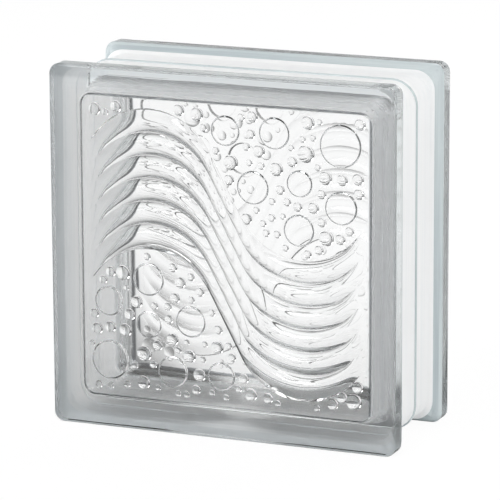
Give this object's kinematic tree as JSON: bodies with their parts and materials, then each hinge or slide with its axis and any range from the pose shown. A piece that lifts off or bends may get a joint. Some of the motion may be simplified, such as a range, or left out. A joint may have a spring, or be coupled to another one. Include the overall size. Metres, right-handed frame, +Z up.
{
  "type": "glass block",
  "caption": "Square hollow glass block with raised rims, a recessed mortar groove and a wave and bubble relief pressed inside both panes.",
  "frame": {"origin": "centre of the block's footprint, on the floor it stands on", "axes": "+Z up, -Y out of the front pane, +X to the right as seen from the front"},
  "size_m": [0.19, 0.08, 0.19],
  "materials": {
    "clear_glass": "clear pressed glass, faintly cool, polished faces"
  },
  "bodies": {
    "root": {"front_half": "clear_glass", "back_half": "clear_glass"}
  },
  "joints": []
}
